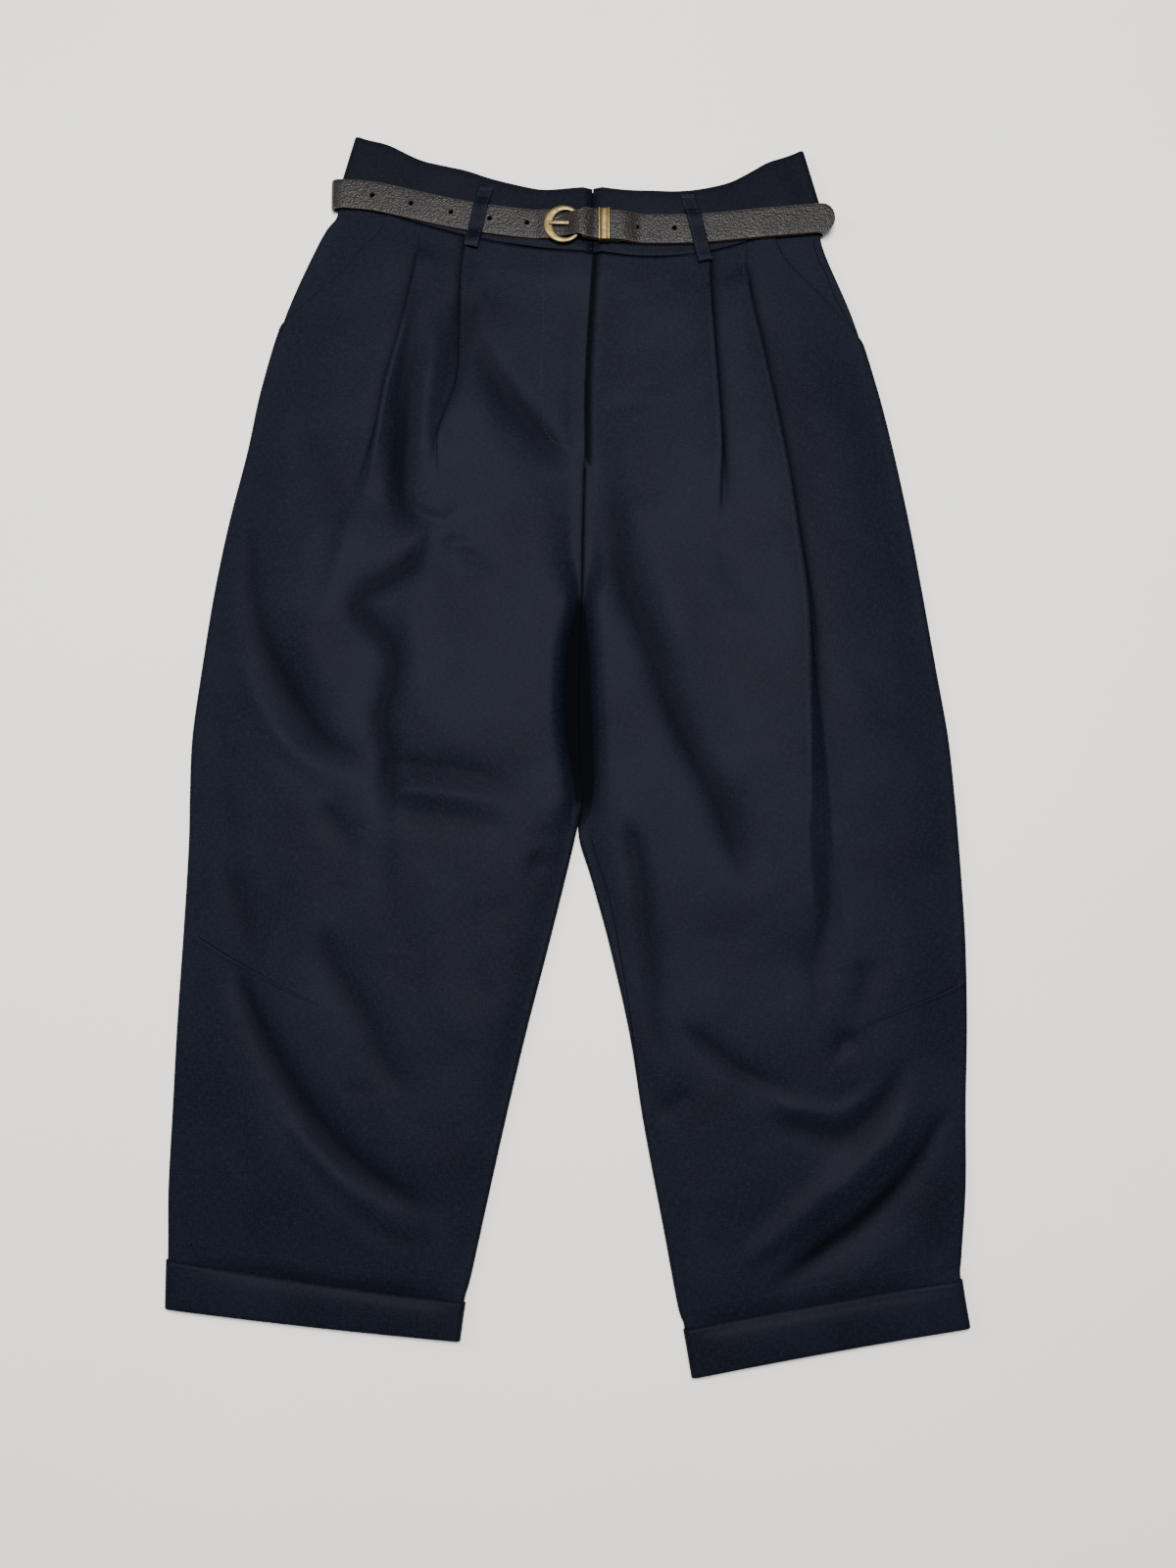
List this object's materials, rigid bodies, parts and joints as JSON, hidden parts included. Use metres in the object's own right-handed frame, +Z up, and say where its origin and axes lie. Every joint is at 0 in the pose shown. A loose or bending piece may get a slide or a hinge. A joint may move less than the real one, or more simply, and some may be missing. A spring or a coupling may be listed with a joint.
{
  "type": "pleated trousers with belt, laid flat",
  "caption": "High-waisted tapered trousers in navy suiting with front pleats, slant pockets and turn-ups, laid flat, with a thin leather belt.",
  "frame": {"origin": "centre of the garment's outline, on the surface that it lies on", "axes": "+Y towards the waist, +Z up from the surface to the front of the garment, +X towards the wearer's left leg"},
  "size_m": [0.5776, 0.9134, 0.0237],
  "materials": {
    "navy_suiting": "matt fine twill with a slight sheen",
    "brown_leather": "pebbled, satin",
    "antique_brass": "antique, worn satin"
  },
  "bodies": {
    "root": {"front_right": "navy_suiting", "front_left": "navy_suiting", "back_right": "navy_suiting", "back_left": "navy_suiting", "pocket_bearer_right": "navy_suiting", "pocket_bearer_left": "navy_suiting", "waistband_front_right": "navy_suiting", "waistband_front_left": "navy_suiting", "waistband_back": "navy_suiting", "cuff_right": "navy_suiting", "cuff_left": "navy_suiting", "belt_loop_front_right": "navy_suiting", "belt_loop_front_left": "navy_suiting", "belt_loop_back_right": "navy_suiting", "belt_loop_back_centre": "navy_suiting", "belt_loop_back_left": "navy_suiting", "belt_strap": "brown_leather", "buckle_frame": "antique_brass", "buckle_prong": "antique_brass", "belt_keeper": "antique_brass"}
  },
  "joints": []
}
